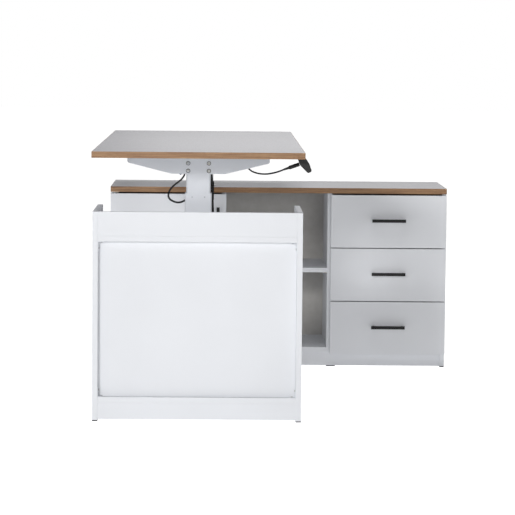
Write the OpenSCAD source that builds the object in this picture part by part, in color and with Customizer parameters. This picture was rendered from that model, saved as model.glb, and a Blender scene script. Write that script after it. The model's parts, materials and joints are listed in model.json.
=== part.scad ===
// Height-adjustable corner desk. The desktop stands on two lifting columns:
// the front one in an open-topped leg housing, the rear one in a low storage
// cabinet with a door, an open bay and three drawers. Millimetres, +Z up.
// The origin is on the floor, under the middle of the overall outline.
// Places are worked out from one corner: x from the cabinet's left side,
// y from the desktop's front edge and z from the floor.

/* [Desktop] */
// Width of the desktop
desk_w = 600; // [540:10:760]
// Length of the desktop
desk_l = 1600; // [1400:10:2000]
// Thickness of the desktop board
desk_t = 18; // [16:1:30]
// Height of the desktop's face above the floor
desk_h = 778; // [778:1:980]
// Left edge of the desktop from the cabinet's left side
desk_x = 4; // [0:1:20]
// Thickness of the wood-look edge strips
edging_t = 1.2; // [0.8:0.1:3]

/* [Leg housing] */
// Left side of the leg housing from the cabinet's left side
pedestal_x = 2; // [0:1:20]
// Front of the leg housing behind the desktop's front edge
pedestal_y = 104; // [40:1:160]
// Width of the leg housing
pedestal_w = 600; // [520:10:760]
// Depth of the leg housing
pedestal_d = 320; // [300:5:420]
// Height of the leg housing
pedestal_h = 602; // [560:1:620]
// Thickness of the leg housing's boards
pedestal_t = 16; // [12:1:20]
// Height of the fascia above the deck board
fascia_h = 69; // [40:1:110]
// Underside of the bottom board above the floor
kick_top = 54; // [40:1:80]
// Setback of the big front panel behind the side boards
panel_recess = 18; // [10:1:40]
// Setback of fascia, deck, bottom board and kick board
reveal = 1; // [0:0.5:4]
// Gap under the kick board
kick_gap = 6; // [4:1:12]
// Diameter of the cable hole in the deck board
cable_hole_d = 32; // [24:1:40]
// Diameter of the cable outlet in the back board
outlet_d = 50; // [40:1:70]

/* [Cabinet] */
// Width of the cabinet
cabinet_w = 1120; // [1000:10:1400]
// Depth of the cabinet
cabinet_d = 400; // [380:5:500]
// Height of the cabinet
cabinet_h = 601; // [560:1:640]
// How far the desktop reaches over the cabinet
desk_overlap = 260; // [220:5:300]
// Thickness of the carcass boards
cabinet_t = 15; // [12:1:20]
// Thickness of the top board
cabinet_top_t = 18; // [16:1:25]
// Underside of the bottom board above the floor
plinth_h = 50; // [40:1:100]
// Setback of the plinth behind the carcass
plinth_recess = 8; // [0:1:60]
// Width of the door
door_w = 385; // [340:5:440]
// Width of the drawer faces
drawer_w = 385; // [320:5:440]
// Thickness of the door and the drawer faces
front_t = 16; // [14:1:20]
// Gap between the fronts and the carcass
front_gap = 3; // [3:0.5:5]
// Bottom edge of the fronts above the floor
fronts_z = 45; // [38:1:95]
// Gap under the top board, above the fronts
top_gap = 5.5; // [3:0.5:12]
// Gap between two drawer faces
face_gap = 3; // [2:0.5:6]
// How far a drawer face covers the partition
face_overlay = 4; // [2:0.5:8]
// Underside of the shelf above the floor
shelf_z = 316.5; // [200:0.5:450]
// Setback of the shelf behind the carcass
shelf_recess = 5; // [0:1:60]
// Thickness of the back board
back_t = 6; // [3:1:10]
// Setback of the back board from the rear edges
back_inset = 10; // [0:1:20]

/* [Drawers] */
// Thickness of a drawer's side boards
drawer_t = 12; // [9:1:16]
// Thickness of a drawer's bottom
drawer_base_t = 4; // [3:1:8]
// Height of a drawer box
box_h = 125; // [90:5:140]
// Depth of a drawer box
box_d = 350; // [250:10:355]
// Drawer box above the lower edge of its face
box_lift = 26; // [24:1:35]
// Space for one runner between a drawer box and the carcass
runner_w = 12.5; // [10:0.5:16]
// Height of a runner rail
runner_h = 26; // [20:1:36]
// Sheet thickness of the runners
runner_t = 1.2; // [0.8:0.1:2]
// Diameter of a runner's roller
roller_d = 18; // [14:1:20]

/* [Handles] */
// Length of a handle bar
handle_l = 112; // [96:2:200]
// Height of a handle bar
handle_h = 10; // [6:1:14]
// Depth of a handle bar
handle_t = 8; // [6:1:12]
// Front of a handle bar before its panel
handle_reach = 25; // [18:1:40]
// Distance between the two posts of a handle
handle_pitch = 96; // [64:32:160]
// Diameter of a handle's posts
post_d = 8; // [6:1:10]
// Middle of a handle below the top edge of its drawer face
handle_drop = 84; // [40:1:120]
// Door handle's middle line from the door's free edge
door_handle_x = 27; // [20:1:60]
// Top of the door handle below the door's top edge
door_handle_drop = 43; // [30:1:120]

/* [Lifting columns] */
// Width of the outer tube
tube_w = 78; // [70:1:96]
// Depth of the outer tube
tube_d = 52; // [46:1:64]
// Wall of both tubes
tube_wall = 1.8; // [1.5:0.1:2.5]
// Corner radius of the outer tube
tube_r = 5; // [4:0.5:8]
// Space between the tubes for the glides
glide_gap = 1.7; // [1.2:0.1:3]
// Top of the outer tubes below the desktop's face
head_room = 130; // [130:1:160]
// Travel upwards from the height shown
lift_up = 400; // [300:5:420]
// Travel downwards from the height shown
lift_down = 48; // [20:1:48]
// Inner tube left inside the outer one at full height
tube_overlap = 120; // [100:5:150]
// Height of a glide
glide_h = 60; // [40:5:90]
// Width of a foot plate
plate_w = 120; // [110:5:130]
// Depth of a foot plate
plate_d = 180; // [120:5:190]
// Thickness of a foot plate
plate_t = 5; // [4:1:8]
// Rear column before the desktop's back edge
rear_column_set = 150; // [130:5:165]
// Diameter of the lifting spindle
spindle_d = 14; // [12:1:16]
// Outer diameter of the nut post
nut_post_d = 28; // [26:1:32]
// Wall of the nut post
nut_post_wall = 2.5; // [2:0.5:3]
// Top of the nut below the outer tube's top
nut_drop = 68; // [66:1:100]
// Height of the nut
nut_h = 35; // [25:1:50]
// Outer diameter of the nut
nut_d = 34; // [34:1:36]

/* [Desktop frame] */
// Length of a support bracket
bracket_w = 413; // [360:1:480]
// Height of a bracket in the middle
bracket_h = 56; // [52:1:70]
// Height of a bracket at its ends
bracket_end_h = 25; // [20:1:36]
// Length of a bracket's level lower edge
bracket_flat = 156; // [120:1:220]
// Sheet thickness of a bracket
bracket_t = 3; // [2:0.5:4]
// Width of a bracket's flanges beside its webs
flange_w = 14.5; // [12:0.5:24]
// Width of a side beam
beam_w = 40; // [30:1:50]
// Height of a side beam
beam_h = 20; // [15:1:30]
// Wall of a side beam
beam_wall = 1.5; // [1:0.5:3]
// Distance between the beams' middle lines
beam_pitch = 200; // [190:5:240]
// Diameter of a motor
motor_d = 46; // [36:1:48]
// Length of a motor
motor_l = 95; // [70:5:110]
// Diameter of a motor's neck where it enters the column
neck_d = 30; // [24:1:34]
// Height of a gearbox
gearbox_h = 50; // [40:1:50]
// Control box length across the desk
control_w = 150; // [120:5:150]
// Control box depth along the desk
control_d = 120; // [90:5:200]
// Control box height
control_h = 32; // [25:1:36]
// Front of the control box behind the desktop's front edge
control_y = 480; // [470:5:600]

/* [Fasteners and fits] */
// Shank diameter of the bracket bolts
bolt_d = 6; // [5:0.5:8]
// Distance between bolts across a column
bolt_pitch_x = 60; // [50:1:62]
// Distance between the two rows of bolts
bolt_pitch_z = 22; // [18:1:26]
// Lower row of bolts above a bracket's lower edge
bolt_edge = 9; // [7:1:14]
// Shank diameter of the desktop screws
screw_d = 4; // [3:0.5:5]
// Depth of the desktop screws in the board
screw_bite = 11; // [8:1:12]
// Diameter of the door's hinge pins
hinge_pin_d = 5; // [4:0.5:6]
// Hinge axis from the door's outer edge and its rear face
hinge_set = 6; // [5:0.5:6]
// Radial clearance of pins and spindles in their bores
running_gap = 0.05; // [0.02:0.01:0.1]
// Clearance round bolts and the column's cut-outs
clearance = 2; // [1:0.5:4]
// Height of the floor pads
pad_h = 3; // [2:0.5:5]
// Length of the floor pads
pad_l = 30; // [20:5:60]

/* [Handset] */
// Length of the handset along the desktop's edge
handset_l = 110; // [90:5:150]
// Near end of the handset behind the desktop's front edge
handset_y = 60; // [30:5:120]
// Diameter of a button
button_d = 12; // [8:1:14]
// Distance between the buttons
button_pitch = 30; // [20:1:50]
// Travel of a button
button_travel = 1; // [0.5:0.1:1.5]

/* [Cords] */
// Diameter of the handset cord
handset_cord_d = 5; // [4:0.5:6]
// Diameter of the motor cord
motor_cord_d = 5.5; // [4:0.5:6]
// Diameter of the inlet cord and the mains cord
mains_cord_d = 6.5; // [5:0.5:7]
// Radius at the middle of the coil's turns
coil_r = 37.8; // [34:0.1:60]
// Turns side by side and on each other in the coil
coil_rows = 3; // [2:1:4]

/* [Hidden] */
$fn = 48;

WHITE = "#f2f3f5";
TOP_GREY = "#c9c9cd";
OAK = "#a57f5c";
STEEL = "#b9bcc0";
BLACK = "#1c1c1e";
CARD = "#d9d7d2";

// overall outline
cabinet_y = desk_l - desk_overlap;
overall_w = max(cabinet_w, desk_x + desk_w, pedestal_x + pedestal_w);
overall_d = max(desk_l, cabinet_y + cabinet_d);

// leg housing
ped_in_l = pedestal_x + pedestal_t;
ped_in_r = pedestal_x + pedestal_w - pedestal_t;
ped_front = pedestal_y + reveal;
ped_rear = pedestal_y + pedestal_d;
ped_floor = kick_top + pedestal_t;
deck_top = pedestal_h - fascia_h;
deck_bottom = deck_top - pedestal_t;
panel_front = pedestal_y + panel_recess;
back_setback = 2;
back_front = ped_rear - back_setback - pedestal_t;

// cabinet
carcass_y = cabinet_y + front_t + front_gap;
cabinet_rear = cabinet_y + cabinet_d;
back_y = cabinet_rear - back_inset - back_t;
carcass_top = cabinet_h - cabinet_top_t;
cab_floor = plinth_h + cabinet_t;
part_left_x = door_w - cabinet_t;
face_x = cabinet_w - drawer_w;
part_right_x = face_x + face_overlay - cabinet_t;
fronts_top = carcass_top - top_gap;
faces = 3;
face_h = (fronts_top - fronts_z - (faces - 1) * face_gap) / faces;
face_pitch = face_h + face_gap;

// drawers
box_l = part_right_x + cabinet_t + runner_w;
box_r = cabinet_w - cabinet_t - runner_w;
box_front = cabinet_y + front_t;
drawer_floor_z = 8;
flange_gap = 0.3;

// columns
column_x = pedestal_x + pedestal_w / 2;
front_y = pedestal_y + pedestal_d / 2;
rear_y = desk_l - rear_column_set;
column_top = desk_h - head_room;
inner_w = tube_w - 2 * tube_wall - 2 * glide_gap;
inner_d = tube_d - 2 * tube_wall - 2 * glide_gap;
inner_r = tube_r - tube_wall;
desk_under = desk_h - desk_t;
head_z = desk_under - bracket_t;
inner_bottom = column_top - tube_overlap - lift_up;
nut_top = column_top - nut_drop;
nut_bottom = nut_top - nut_h;
gearbox_top = head_z - 2;
gearbox_bottom = gearbox_top - gearbox_h;
spindle_seat = 10;
seat_gap = 2;
spindle_bottom = nut_bottom - lift_up - 15;
motor_z = desk_under - 28;
bore_d = spindle_d + 2 * running_gap;
fit_gap = 0.3;

// brackets and beams
web_out = inner_d / 2 + bracket_t;
flange_out = web_out + flange_w;
bracket_bottom = desk_under - bracket_h;
row_low = bracket_bottom + bolt_edge;
row_high = row_low + bolt_pitch_z;
hole_d = bolt_d + 0.4;
cable_notch = [-52, desk_under - 15];
cable_notch_d = 16;
screw_places = [-197, -100, 100, 197];
screw_line = web_out + flange_w / 2;

// handset: outline from the desktop's lower right edge, x out and z up
handset_points = [[-21, 0], [0, 0], [4, -2.5], [8, -7], [19.5, -32.5], [18.5, -38],
                  [9.5, -41.5], [6, -39], [-12, -21], [-16, -10]];
handset_face = [handset_points[3], handset_points[4]];
face_dir = (handset_face[1] - handset_face[0]) / norm(handset_face[1] - handset_face[0]);
face_mid = (handset_face[0] + handset_face[1]) / 2;
face_tilt = atan2(-face_dir[1], face_dir[0]);
button_h = 4;
button_proud = 1.4;
button_mid = handset_y + handset_l / 2;

// cord routes, chosen by hand, from the corner
handset_route = [[356, 472, 744], [356, 460, 743.5], [359, 443, 740], [368, 426, 734.5],
                 [384, 409, 731], [404, 391, 729.5], [423, 369, 728], [436, 342, 725],
                 [443, 318, 721], [449, 297, 716.5], [457, 272, 711.5], [466, 248, 709],
                 [476, 224, 707.7], [487, 200, 707.7], [499, 178, 709], [512, 158, 712],
                 [525, 142, 716], [536, 129, 720.4], [547, 121, 725.3]];
motor_route = [[262, 472, 744], [262, 458, 744], [262, 430, 746], [261, 396, 749.5],
               [258, 360, 750], [254, 326, 748], [251, 298, 745.5], [250.5, 281, 741],
               [253, 268, 731], [258.5, 263, 717], [261.2, 262, 702], [255.5, 262, 691],
               [247, 263, 682], [236, 264, 673.5], [226, 265, 664.5], [218.5, 268, 654],
               [214.5, 273, 641.5], [217, 280, 630], [226, 288, 622.5], [241, 296, 617.5],
               [256, 303, 620], [270, 308, 630], [282, 312, 645], [291, 316, 662],
               [298, 321, 679], [302, 329, 693], [302, 335, 704]];
inlet_route = [[330, 472, 744], [330, 458, 744], [330.5, 430, 744.5], [332, 398, 745],
               [334, 366, 744], [336, 338, 739], [336.6, 317, 728], [336.8, 304, 711],
               [338.6, 300, 697], [340, 300, 689], [340, 300, 680]];
lead_route = [[343, 300, 650], [343, 300, 641], [343, 300, 625], [344, 300, 600],
              [346, 301, 580], [351, 303.5, 560], [357, 306, 543], [361, 307, 522],
              [362, 308, 495], [362, 310, 440], [362, 312, 370], [362, 314, 300],
              [362, 316, 230], [363, 319, 170], [367, 323, 130], [376, 329, 102],
              [392, 337, 85], [412, 346, 76.5], [434, 355, 73.3], [456, 361.5, 73.3],
              [480, 366, 73.3]];
tail_route = [[482, 276, 87], [468, 272.5, 84.5], [455, 265, 79], [447, 254, 74.5],
              [444, 241, 73.8], [444, 228, 74.5]];
coil_centre = [505, 322];
coil_step = 6.8;

function unit(v) = v / norm(v);

// Points on a smooth curve through the given ones, k to each stretch.
function smooth_line(p, k) = let (n = len(p)) concat([
    for (i = [0 : n - 2], j = [0 : k - 1])
        let (a = p[max(i - 1, 0)], b = p[i], c = p[i + 1], d = p[min(i + 2, n - 1)],
             t = j / k)
        0.5 * (2 * b + (c - a) * t + (2 * a - 5 * b + 4 * c - d) * t * t
               + (3 * b - a - 3 * c + d) * t * t * t)
], [p[n - 1]]);

// Direction of the line at each of its points.
function headings(p) = let (n = len(p))
    [for (i = [0 : n - 1]) unit(p[min(i + 1, n - 1)] - p[max(i - 1, 0)])];

// A side direction at each point, carried along the line without twist.
function sides_of(t) = let (first = cross(t[0], [0.3, 0.2, 1])) [
    for (i = 0, s = unit(first); i < len(t);
         s = i + 1 < len(t) ? unit(s - (s * t[i + 1]) * t[i + 1]) : s, i = i + 1) s
];

// A round cord swept along the points.
module swept(p, d, sides = 8) {
    t = headings(p);
    s = sides_of(t);
    n = len(p);
    rings = [for (i = [0 : n - 1], a = [0 : sides - 1])
        p[i] + d / 2 * (cos(a * 360 / sides) * s[i]
                        + sin(a * 360 / sides) * cross(t[i], s[i]))];
    tube = [for (i = [0 : n - 2], a = [0 : sides - 1], h = [0, 1])
        let (b = (a + 1) % sides, q = i * sides)
        h == 0 ? [q + a, q + b, q + sides + a] : [q + b, q + sides + b, q + sides + a]];
    near = [for (a = [sides - 1 : -1 : 0]) a];
    far = [for (a = [0 : sides - 1]) (n - 1) * sides + a];
    polyhedron(rings, concat(tube, [near], [far]));
}

// From the corner to the overall middle.
module placed() {
    translate([-overall_w / 2, -overall_d / 2, 0]) children();
}

module block(low, high) {
    translate(low) cube(high - low);
}

module rounded(w, d, r) {
    square([w - 2 * r, d], center = true);
    square([w, d - 2 * r], center = true);
    for (x = [-1, 1], y = [-1, 1]) {
        translate([x * (w / 2 - r), y * (d / 2 - r)]) circle(r);
    }
}

module tube(w, d, r, wall, low, high) {
    translate([0, 0, low]) linear_extrude(high - low) difference() {
        rounded(w, d, r);
        rounded(w - 2 * wall, d - 2 * wall, max(r - wall, 0.5));
    }
}

module at_columns() {
    translate([column_x, front_y, 0]) children();
    translate([column_x, rear_y, 0]) mirror([0, 1, 0]) children();
}

// An edge strip that runs round a board.
module edge_strips(x, y, w, l, z, t) {
    difference() {
        block([x, y, z], [x + w, y + l, z + t]);
        block([x + edging_t, y + edging_t, z - 1],
              [x + w - edging_t, y + l - edging_t, z + t + 1]);
    }
}

// ---- leg housing ----

module pedestal_side(x) {
    color(WHITE) placed()
        block([x, pedestal_y, pad_h], [x + pedestal_t, ped_rear, pedestal_h]);
}

module pedestal_side_left() {
    pedestal_side(pedestal_x);
}

module pedestal_side_right() {
    pedestal_side(ped_in_r);
}

module pedestal_fascia() {
    color(WHITE) placed()
        block([ped_in_l, ped_front, deck_top],
              [ped_in_r, ped_front + pedestal_t, pedestal_h]);
}

module pedestal_deck() {
    color(WHITE) placed() difference() {
        block([ped_in_l, ped_front, deck_bottom], [ped_in_r, ped_rear, deck_top]);
        translate([column_x, front_y, deck_bottom - 1])
            linear_extrude(pedestal_t + 2)
                rounded(tube_w + clearance, tube_d + clearance, tube_r);
        translate([column_x + 60, front_y + 42, deck_bottom - 1])
            cylinder(d = cable_hole_d, h = pedestal_t + 2);
    }
}

module pedestal_panel() {
    color(WHITE) placed()
        block([ped_in_l, panel_front, ped_floor],
              [ped_in_r, panel_front + pedestal_t, deck_bottom]);
}

module pedestal_bottom() {
    color(WHITE) placed()
        block([ped_in_l, ped_front, kick_top], [ped_in_r, back_front, ped_floor]);
}

module pedestal_kick() {
    color(WHITE) placed()
        block([ped_in_l, ped_front, kick_gap],
              [ped_in_r, ped_front + pedestal_t, kick_top]);
}

module pedestal_back() {
    color(WHITE) placed() difference() {
        block([ped_in_l, back_front, kick_gap],
              [ped_in_r, back_front + pedestal_t, deck_bottom]);
        translate([ped_in_r - 80, back_front - 1, ped_floor + 60]) rotate([-90, 0, 0])
            cylinder(d = outlet_d, h = pedestal_t + 2);
    }
}

module floor_pads() {
    color(BLACK) placed() {
        for (x = [pedestal_x, ped_in_r], y = [pedestal_y, ped_rear - pad_l]) {
            block([x, y, 0], [x + pedestal_t, y + pad_l, pad_h]);
        }
        for (x = [0, cabinet_w - cabinet_t], y = [carcass_y, cabinet_rear - pad_l]) {
            block([x, y, 0], [x + cabinet_t, y + pad_l, pad_h]);
        }
        for (x = [part_left_x, part_right_x]) {
            block([x, carcass_y + plinth_recess, 0],
                  [x + pad_l, carcass_y + plinth_recess + cabinet_t, pad_h]);
        }
    }
}

// ---- lifting columns, fixed half ----

module column_tubes() {
    color(WHITE) placed() {
        translate([column_x, front_y, 0])
            tube(tube_w, tube_d, tube_r, tube_wall, ped_floor + plate_t, column_top);
        translate([column_x, rear_y, 0])
            tube(tube_w, tube_d, tube_r, tube_wall, cab_floor + plate_t, column_top);
    }
}

module foot_plate(y, z) {
    hole_x = plate_w / 2 - 12;
    hole_y = plate_d / 2 - 15;
    translate([column_x, y, z]) difference() {
        translate([-plate_w / 2, -plate_d / 2, 0]) cube([plate_w, plate_d, plate_t]);
        for (i = [-1, 1], j = [-1, 1]) {
            translate([i * hole_x, j * hole_y, -1]) cylinder(d = hole_d, h = plate_t + 2);
        }
    }
}

module foot_plates() {
    color(STEEL) placed() {
        foot_plate(front_y, ped_floor);
        foot_plate(rear_y, cab_floor);
    }
}

module column_glides() {
    w = tube_w - 2 * tube_wall;
    d = tube_d - 2 * tube_wall;
    wall = glide_gap - fit_gap;
    color(WHITE) placed() at_columns()
        tube(w, d, tube_r - tube_wall, wall, column_top - glide_h, column_top - 1);
}

module nut_post(z) {
    difference() {
        union() {
            translate([0, 0, z]) cylinder(d = nut_post_d, h = nut_bottom - z);
            translate([0, 0, nut_bottom]) cylinder(d = nut_d, h = nut_h);
        }
        translate([0, 0, z - 1])
            cylinder(d = nut_post_d - 2 * nut_post_wall, h = nut_bottom - z + 1);
        translate([0, 0, nut_bottom - 1]) cylinder(d = bore_d, h = nut_h + 2);
    }
}

module nut_posts() {
    color(STEEL) placed() {
        translate([column_x, front_y, 0]) nut_post(ped_floor + plate_t);
        translate([column_x, rear_y, 0]) nut_post(cab_floor + plate_t);
    }
}

// ---- cabinet ----

module cabinet_side(x) {
    color(WHITE) placed()
        block([x, carcass_y, pad_h], [x + cabinet_t, cabinet_rear, carcass_top]);
}

module cabinet_side_left() {
    cabinet_side(0);
}

module cabinet_side_right() {
    cabinet_side(cabinet_w - cabinet_t);
}

module cabinet_partition(x) {
    color(WHITE) placed()
        block([x, carcass_y, cab_floor], [x + cabinet_t, back_y, carcass_top]);
}

module cabinet_partition_left() {
    cabinet_partition(part_left_x);
}

module cabinet_partition_right() {
    cabinet_partition(part_right_x);
}

module cabinet_top() {
    color(TOP_GREY) placed() difference() {
        block([edging_t, cabinet_y + edging_t, carcass_top],
              [cabinet_w - edging_t, cabinet_rear - edging_t, cabinet_h]);
        translate([column_x, rear_y, carcass_top - 1])
            linear_extrude(cabinet_top_t + 2)
                rounded(tube_w + clearance, tube_d + clearance, tube_r);
    }
}

module cabinet_edging() {
    color(OAK) placed()
        edge_strips(0, cabinet_y, cabinet_w, cabinet_d, carcass_top, cabinet_top_t);
}

module cabinet_bottom() {
    color(WHITE) placed()
        block([cabinet_t, carcass_y, plinth_h], [cabinet_w - cabinet_t, back_y, cab_floor]);
}

module cabinet_plinth() {
    y = carcass_y + plinth_recess;
    color(WHITE) placed() for (v = [y, back_y - cabinet_t]) {
        block([cabinet_t, v, pad_h], [cabinet_w - cabinet_t, v + cabinet_t, plinth_h]);
    }
}

module cabinet_back() {
    color(CARD) placed()
        block([cabinet_t, back_y, plinth_h],
              [cabinet_w - cabinet_t, back_y + back_t, carcass_top]);
}

module cabinet_shelf() {
    color(WHITE) placed()
        block([part_left_x + cabinet_t, carcass_y + shelf_recess, shelf_z],
              [part_right_x, back_y, shelf_z + cabinet_t]);
}

// A channel that opens towards +X, from its wall plane.
module rail(z) {
    reach = runner_w - runner_t - flange_gap;
    translate([0, carcass_y + 2, z]) {
        cube([runner_t, box_d, runner_h]);
        for (v = [0, runner_h - runner_t]) {
            translate([0, 0, v]) cube([reach, box_d, runner_t]);
        }
    }
}

function box_z(k) = fronts_z + k * face_pitch + box_lift;

module runner_rails() {
    color(STEEL) placed() for (k = [0 : faces - 1]) {
        translate([part_right_x + cabinet_t, 0, 0]) rail(box_z(k) + runner_t);
        translate([cabinet_w - cabinet_t, 0, 0]) mirror([1, 0, 0])
            rail(box_z(k) + runner_t);
    }
}

// hinge axis in plan
hinge_x = hinge_set;
hinge_y = cabinet_y + front_t - hinge_set;
hinge_plate_t = 2;
pin_l = 14;

module hinge_brackets() {
    tab = 28;
    color(STEEL) placed() {
        block([0, hinge_y - hinge_set, carcass_top - hinge_plate_t],
              [cabinet_t + 13, carcass_y, carcass_top]);
        translate([hinge_x, hinge_y, fronts_top - pin_l])
            cylinder(d = hinge_pin_d, h = carcass_top - hinge_plate_t - fronts_top + pin_l);
        block([0, hinge_y - hinge_set, fronts_z - 2 * hinge_plate_t],
              [cabinet_t, carcass_y, fronts_z - hinge_plate_t]);
        block([0, carcass_y - hinge_plate_t, fronts_z - tab],
              [cabinet_t, carcass_y, fronts_z - hinge_plate_t]);
        translate([hinge_x, hinge_y, fronts_z - hinge_plate_t])
            cylinder(d = hinge_pin_d, h = pin_l + hinge_plate_t);
    }
}

// ---- door ----

module door_panel() {
    pin_hole = hinge_pin_d + 2 * running_gap;
    color(WHITE) placed() difference() {
        block([0, cabinet_y, fronts_z], [door_w, cabinet_y + front_t, fronts_top]);
        translate([hinge_x, hinge_y, fronts_z - 1]) cylinder(d = pin_hole, h = pin_l + 2);
        translate([hinge_x, hinge_y, fronts_top - pin_l - 1])
            cylinder(d = pin_hole, h = pin_l + 2);
    }
}

// A bar on two posts, lying along X, before the plane y = 0.
module bar_handle() {
    translate([-handle_l / 2, -handle_reach, -handle_h / 2])
        cube([handle_l, handle_t, handle_h]);
    for (x = [-handle_pitch / 2, handle_pitch / 2]) {
        translate([x, 0, 0]) rotate([90, 0, 0])
            cylinder(d = post_d, h = handle_reach - handle_t);
    }
}

module door_handle() {
    color(BLACK) placed()
        translate([door_w - door_handle_x, cabinet_y,
                   fronts_top - door_handle_drop - handle_l / 2])
            rotate([0, 90, 0]) bar_handle();
}

// ---- drawers, k counted from the lowest ----

module drawer_face(k) {
    z = fronts_z + k * face_pitch;
    color(WHITE) placed()
        block([face_x, cabinet_y, z], [cabinet_w, cabinet_y + front_t, z + face_h]);
}

module drawer_box(k) {
    z = box_z(k);
    in_l = box_l + drawer_t;
    in_r = box_r - drawer_t;
    in_front = box_front + drawer_t;
    rear = box_front + box_d;
    color(WHITE) placed() {
        block([box_l, box_front, z], [box_r, in_front, z + box_h]);
        for (x = [box_l, in_r]) {
            block([x, in_front, z], [x + drawer_t, rear, z + box_h]);
        }
        block([in_l, rear - drawer_t, z], [in_r, rear, z + box_h]);
        block([in_l, in_front, z + drawer_floor_z],
              [in_r, rear - drawer_t, z + drawer_floor_z + drawer_base_t]);
    }
}

module drawer_handle(k) {
    z = fronts_z + k * face_pitch + face_h - handle_drop;
    color(BLACK) placed()
        translate([face_x + drawer_w / 2, cabinet_y, z]) bar_handle();
}

// An angle along the drawer's lower edge, with a roller at its rear end.
module runner(z) {
    leg_h = 22;
    roller_w = 6;
    reach = runner_w - runner_t;
    translate([-runner_t, box_front + drawer_t, z]) {
        cube([runner_t, box_d - drawer_t, leg_h]);
    }
    translate([-runner_t, box_front + drawer_t, z - runner_t])
        cube([drawer_t, box_d - drawer_t, runner_t]);
    translate([-reach + 3, box_front + box_d - roller_d, z + runner_t + runner_h / 2])
        rotate([0, 90, 0]) cylinder(d = roller_d, h = roller_w);
    translate([-reach + 3, box_front + box_d - roller_d, z + runner_t + runner_h / 2])
        rotate([0, 90, 0]) cylinder(d = 5, h = reach - 3);
}

module drawer_runners(k) {
    color(STEEL) placed() {
        translate([box_l, 0, 0]) runner(box_z(k));
        translate([box_r, 0, 0]) mirror([1, 0, 0]) runner(box_z(k));
    }
}

module drawer_top_face() { drawer_face(2); }
module drawer_top_box() { drawer_box(2); }
module drawer_top_handle() { drawer_handle(2); }
module drawer_top_runners() { drawer_runners(2); }
module drawer_middle_face() { drawer_face(1); }
module drawer_middle_box() { drawer_box(1); }
module drawer_middle_handle() { drawer_handle(1); }
module drawer_middle_runners() { drawer_runners(1); }
module drawer_bottom_face() { drawer_face(0); }
module drawer_bottom_box() { drawer_box(0); }
module drawer_bottom_handle() { drawer_handle(0); }
module drawer_bottom_runners() { drawer_runners(0); }

// ---- lifting half ----

module screw_spots() {
    for (x = screw_places, y = [-screw_line, screw_line]) {
        translate([x, y, 0]) children();
    }
}

module desktop() {
    color(TOP_GREY) placed() difference() {
        block([desk_x + edging_t, edging_t, desk_under],
              [desk_x + desk_w - edging_t, desk_l - edging_t, desk_h]);
        at_columns() screw_spots()
            translate([0, 0, desk_under - 1]) cylinder(d = screw_d, h = screw_bite + 1);
    }
}

module desktop_edging() {
    color(OAK) placed() edge_strips(desk_x, 0, desk_w, desk_l, desk_under, desk_t);
}

// Bolt positions on the face of a column that looks away from its motor.
module bolt_spots() {
    for (x = [-bolt_pitch_x / 2, bolt_pitch_x / 2], z = [row_low, row_high]) {
        translate([x, 0, z]) rotate([90, 0, 0]) children();
    }
}

module inner_tubes() {
    color(WHITE) placed() at_columns() difference() {
        tube(inner_w, inner_d, inner_r, tube_wall, inner_bottom, head_z);
        bolt_spots() cylinder(d = hole_d, h = inner_d);
        translate([0, 0, motor_z]) rotate([-90, 0, 0])
            cylinder(d = neck_d + fit_gap, h = inner_d);
    }
}

module web_outline() {
    half = bracket_w / 2;
    nick = 4;
    polygon([[-half, 0], [-half, nick - bracket_end_h], [nick - half, -bracket_end_h],
             [-bracket_flat / 2, -bracket_h], [bracket_flat / 2, -bracket_h],
             [half - nick, -bracket_end_h], [half, nick - bracket_end_h], [half, 0]]);
}

module web(y) {
    translate([0, y, desk_under]) rotate([90, 0, 0])
        linear_extrude(bracket_t) web_outline();
}

module support_brackets() {
    color(WHITE) placed() at_columns() difference() {
        union() {
            block([-bracket_w / 2, -flange_out, head_z],
                  [bracket_w / 2, flange_out, desk_under]);
            web(bracket_t - web_out);
            web(web_out);
            for (x = [-bracket_w / 2, bracket_w / 2 - bracket_t]) {
                block([x, -web_out, desk_under - bracket_end_h + 4],
                      [x + bracket_t, web_out, desk_under]);
            }
        }
        bolt_spots() cylinder(d = hole_d, h = web_out + 1);
        translate([0, 0, motor_z]) rotate([-90, 0, 0])
            cylinder(d = neck_d + fit_gap, h = web_out + 1);
        translate([cable_notch[0], inner_d / 2 - 1, cable_notch[1]]) rotate([-90, 0, 0])
            cylinder(d = cable_notch_d, h = bracket_t + 2);
        screw_spots() translate([0, 0, head_z - 1])
            cylinder(d = screw_d, h = bracket_t + 2);
    }
}

module side_beams() {
    low = front_y + flange_out;
    high = rear_y - flange_out;
    color(WHITE) placed() for (x = [-beam_pitch / 2, beam_pitch / 2]) {
        translate([column_x + x - beam_w / 2, 0, desk_under - beam_h]) difference() {
            block([0, low, 0], [beam_w, high, beam_h]);
            block([beam_wall, low - 1, beam_wall],
                  [beam_w - beam_wall, high + 1, beam_h - beam_wall]);
        }
    }
}

module gear_motor() {
    in_w = inner_w - 2 * tube_wall - 2 * fit_gap;
    in_d = inner_d - 2 * tube_wall - 2 * fit_gap;
    gland_d = 9;
    thread_depth = 4;
    difference() {
        union() {
            block([-in_w / 2, -in_d / 2, gearbox_bottom], [in_w / 2, in_d / 2, gearbox_top]);
            translate([0, 0, motor_z]) rotate([-90, 0, 0]) {
                cylinder(d = neck_d, h = web_out + 1);
                translate([0, 0, web_out]) cylinder(d = motor_d, h = motor_l);
            }
            translate([0, web_out + 45.5, motor_z - motor_d / 2 - 5])
                cylinder(d = gland_d, h = 12);
        }
        translate([0, 0, gearbox_bottom - 1])
            cylinder(d = bore_d, h = spindle_seat + seat_gap + 1);
        bolt_spots() translate([0, 0, in_d / 2 - thread_depth])
            cylinder(d = hole_d, h = thread_depth + 1);
    }
}

module gear_motors() {
    color(STEEL) placed() at_columns() gear_motor();
}

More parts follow.
